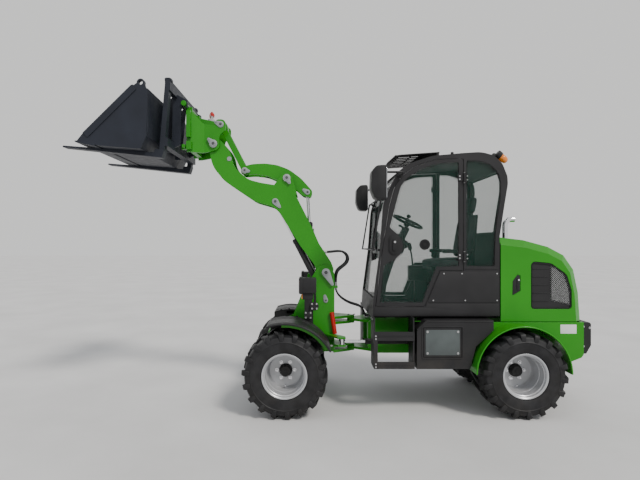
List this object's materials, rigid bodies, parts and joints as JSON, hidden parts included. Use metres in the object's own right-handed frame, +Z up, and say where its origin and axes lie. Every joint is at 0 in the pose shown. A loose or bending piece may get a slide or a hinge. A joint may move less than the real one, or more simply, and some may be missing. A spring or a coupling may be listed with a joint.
{
  "type": "wheel loader",
  "caption": "Compact articulated wheel loader with a raised linkage boom, a fork frame on its quick hitch and a bucket resting on the forks.",
  "frame": {"origin": "on the ground, under the middle of the machine's length and width", "axes": "+X forward towards the forks' tips, +Y to the machine's left, +Z up"},
  "size_m": [5.01, 1.61, 3.1389],
  "materials": {
    "green_paint": "satin paint",
    "dark_paint": "satin paint",
    "slate_paint": "satin paint",
    "silver_paint": "satin paint",
    "red_paint": "satin paint",
    "cast_grey": "cast",
    "steel": "turned",
    "chrome": "polished",
    "tyre": "moulded",
    "glass": "clear",
    "black_plastic": "moulded",
    "amber": "clear",
    "red_lens": "clear",
    "black_rubber": "moulded"
  },
  "bodies": {
    "rear_frame": {"rear_chassis": "green_paint", "rear_axle": "dark_paint", "engine_block": "cast_grey", "counterweight": "dark_paint", "rear_body": "green_paint", "side_boxes": "dark_paint", "steps": "dark_paint", "cab_frame": "dark_paint", "cab_glass": "glass", "seat": "black_plastic", "console": "black_plastic", "mirrors": "black_plastic", "front_guard": "dark_paint", "beacon": "amber", "exhaust": "chrome", "tail_lamps": "red_lens", "joint_hoses": "black_rubber"},
    "front_frame": {"front_frame": "green_paint", "front_axle": "dark_paint", "front_fenders": "black_plastic", "head_lamps": "black_plastic", "boom_lock": "red_paint", "boom_hoses": "black_rubber"},
    "boom": {"boom": "green_paint"},
    "lever_pin": {"lever_pin": "steel"},
    "lever": {"lever": "green_paint"},
    "link_pin": {"link_pin": "steel"},
    "link": {"link": "green_paint"},
    "tip_pin": {"tip_pin": "steel"},
    "hitch": {"carrier": "green_paint", "fork_frame": "slate_paint", "forks": "slate_paint", "bucket": "slate_paint"},
    "lift_barrels": {"lift_barrels": "dark_paint"},
    "lift_rods": {"lift_rods": "chrome"},
    "tilt_barrel": {"tilt_barrel": "dark_paint"},
    "tilt_rod": {"tilt_rod": "chrome"},
    "steer_barrel": {"steer_barrel": "dark_paint"},
    "steer_rod": {"steer_rod": "chrome"},
    "door_left": {"door_left": "dark_paint", "door_glass_left": "glass"},
    "door_right": {"door_right": "dark_paint", "door_glass_right": "glass"},
    "hood": {"hood": "green_paint", "hood_grilles": "dark_paint"},
    "wheel_front_left": {"rim_front_left": "silver_paint", "tyre_front_left": "tyre"},
    "wheel_front_right": {"rim_front_right": "silver_paint", "tyre_front_right": "tyre"},
    "wheel_rear_left": {"rim_rear_left": "silver_paint", "tyre_rear_left": "tyre"},
    "wheel_rear_right": {"rim_rear_right": "silver_paint", "tyre_rear_right": "tyre"}
  },
  "joints": [
    {"name": "articulation", "type": "hinge", "parent": "rear_frame", "child": "front_frame", "pos_m": [-0.231, 0, 0.68], "axis": [0, 0, 1], "range_deg": [-30, 30], "deforming": ["joint_hoses"]},
    {"name": "boom_lift", "type": "hinge", "parent": "front_frame", "child": "boom", "pos_m": [0.04, 0, 1.298], "axis": [0, -1, 0], "range_deg": [-85, 8], "deforming": ["boom_hoses"]},
    {"name": "lever_pin_turn", "type": "hinge", "parent": "boom", "child": "lever_pin", "pos_m": [0.437, 0, 2.256], "axis": [0, -1, 0], "range_deg": [-38.24, 4.05]},
    {"name": "lever_turn", "type": "hinge", "parent": "lever_pin", "child": "lever", "pos_m": [0.437, 0, 2.256], "axis": [0, -1, 0], "range_deg": [-4.35, 9.16]},
    {"name": "link_pin_turn", "type": "hinge", "parent": "lever", "child": "link_pin", "pos_m": [0.87, 0, 2.339], "axis": [0, -1, 0], "range_deg": [-4.65, 44.62]},
    {"name": "link_turn", "type": "hinge", "parent": "link_pin", "child": "link", "pos_m": [0.87, 0, 2.339], "axis": [0, -1, 0], "range_deg": [-29.21, 13.26]},
    {"name": "tip_pin_turn", "type": "hinge", "parent": "boom", "child": "tip_pin", "pos_m": [1.175, 0, 2.596], "axis": [0, -1, 0], "range_deg": [-8.5, 85.5]},
    {"name": "tool_tilt", "type": "hinge", "parent": "tip_pin", "child": "hitch", "pos_m": [1.175, 0, 2.596], "axis": [0, 1, 0], "range_deg": [-20, 45]},
    {"name": "lift_barrel_swing", "type": "hinge", "parent": "front_frame", "child": "lift_barrels", "pos_m": [0.041, 0, 1.016], "axis": [0, -1, 0], "range_deg": [-74.11, 7.43]},
    {"name": "lift_rod_slide", "type": "slide", "parent": "lift_barrels", "child": "lift_rods", "axis": [0.4561, 0, 0.8899], "range_m": [-0.3348, 0.0324]},
    {"name": "tilt_barrel_swing", "type": "hinge", "parent": "front_frame", "child": "tilt_barrel", "pos_m": [0.179, 0, 1.27], "axis": [0, -1, 0], "range_deg": [-89.5, 8.88]},
    {"name": "tilt_rod_slide", "type": "slide", "parent": "tilt_barrel", "child": "tilt_rod", "axis": [0.0566, 0, 0.9984], "range_m": [-0.0419, 0.0192]},
    {"name": "steer_barrel_swing", "type": "hinge", "parent": "rear_frame", "child": "steer_barrel", "pos_m": [-0.791, 0.32, 0.635], "axis": [0, 0, 1], "range_deg": [-5.48, 5.48]},
    {"name": "steer_rod_slide", "type": "slide", "parent": "steer_barrel", "child": "steer_rod", "axis": [0.9996, 0.0294, 0], "range_m": [-0.174, 0.174]},
    {"name": "door_left_hinge", "type": "hinge", "parent": "rear_frame", "child": "door_left", "pos_m": [-1.251, 0.512, 1.8], "axis": [0, 0, 1], "range_deg": [0, 85]},
    {"name": "door_right_hinge", "type": "hinge", "parent": "rear_frame", "child": "door_right", "pos_m": [-1.251, -0.512, 1.8], "axis": [0, 0, -1], "range_deg": [0, 85]},
    {"name": "hood_hinge", "type": "hinge", "parent": "rear_frame", "child": "hood", "pos_m": [-2.459, 0, 0.877], "axis": [0, -1, 0], "range_deg": [0, 65]},
    {"name": "wheel_front_left_spin", "type": "hinge", "parent": "front_frame", "child": "wheel_front_left", "pos_m": [0.429, 0.535, 0.3935], "axis": [0, 1, 0], "continuous": true},
    {"name": "wheel_front_right_spin", "type": "hinge", "parent": "front_frame", "child": "wheel_front_right", "pos_m": [0.429, -0.535, 0.3935], "axis": [0, 1, 0], "continuous": true},
    {"name": "wheel_rear_left_spin", "type": "hinge", "parent": "rear_frame", "child": "wheel_rear_left", "pos_m": [-1.741, 0.535, 0.3935], "axis": [0, 1, 0], "continuous": true},
    {"name": "wheel_rear_right_spin", "type": "hinge", "parent": "rear_frame", "child": "wheel_rear_right", "pos_m": [-1.741, -0.535, 0.3935], "axis": [0, 1, 0], "continuous": true}
  ],
  "couplings": [
    {"joint": "lever_pin_turn", "follows": "boom_lift", "ratio": 0.444},
    {"joint": "lever_turn", "follows": "tool_tilt", "ratio": 0.1925},
    {"joint": "link_pin_turn", "follows": "boom_lift", "ratio": -0.519},
    {"joint": "link_turn", "follows": "tool_tilt", "ratio": -0.638},
    {"joint": "tip_pin_turn", "follows": "boom_lift", "ratio": -1},
    {"joint": "lift_barrel_swing", "follows": "boom_lift", "ratio": 0.866},
    {"joint": "lift_rod_slide", "follows": "boom_lift", "m_per_rad": 0.225},
    {"joint": "tilt_barrel_swing", "follows": "boom_lift", "ratio": 1.047},
    {"joint": "tilt_rod_slide", "follows": "tool_tilt", "m_per_rad": -0.0521},
    {"joint": "steer_barrel_swing", "follows": "articulation", "ratio": 0.1726},
    {"joint": "steer_rod_slide", "follows": "articulation", "m_per_rad": -0.3304}
  ]
}
